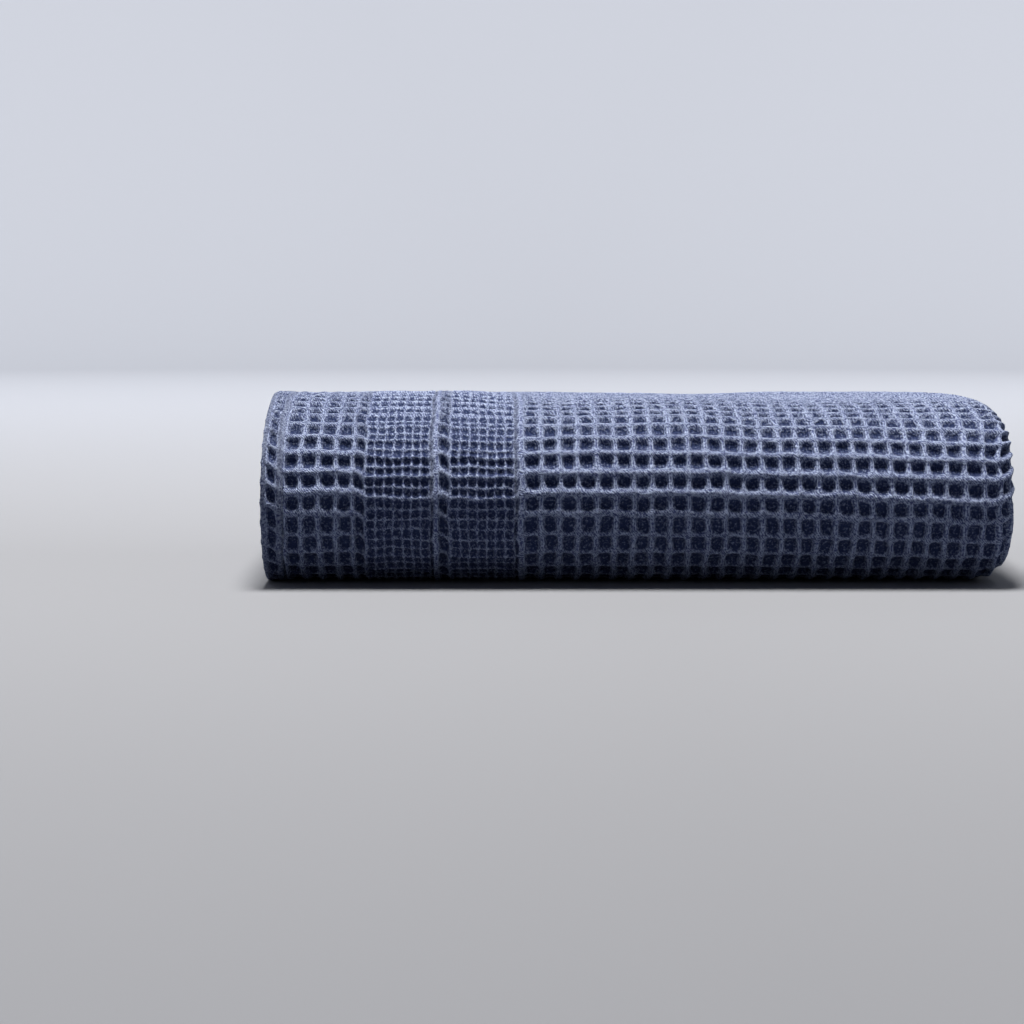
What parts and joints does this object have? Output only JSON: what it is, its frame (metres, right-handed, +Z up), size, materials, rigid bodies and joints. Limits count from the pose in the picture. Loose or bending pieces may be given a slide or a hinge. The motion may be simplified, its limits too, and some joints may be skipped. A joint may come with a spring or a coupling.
{
  "type": "hand towel",
  "caption": "Hand towel of deep waffle cloth, folded for the shelf, with a rounded full-height fold at the front and its hems and fine-celled border bands at one end.",
  "frame": {"origin": "middle of the plan, on the surface that the folded towel rests on", "axes": "+Z up; -Y towards the rounded full-height fold, which is the front; +X towards the end where the plies turn back, away from the hems"},
  "size_m": [0.2576, 0.1846, 0.0639],
  "materials": {
    "cotton_waffle": "matt, with a deep waffle relief"
  },
  "bodies": {
    "root": {"hand_towel": "cotton_waffle"}
  },
  "joints": []
}
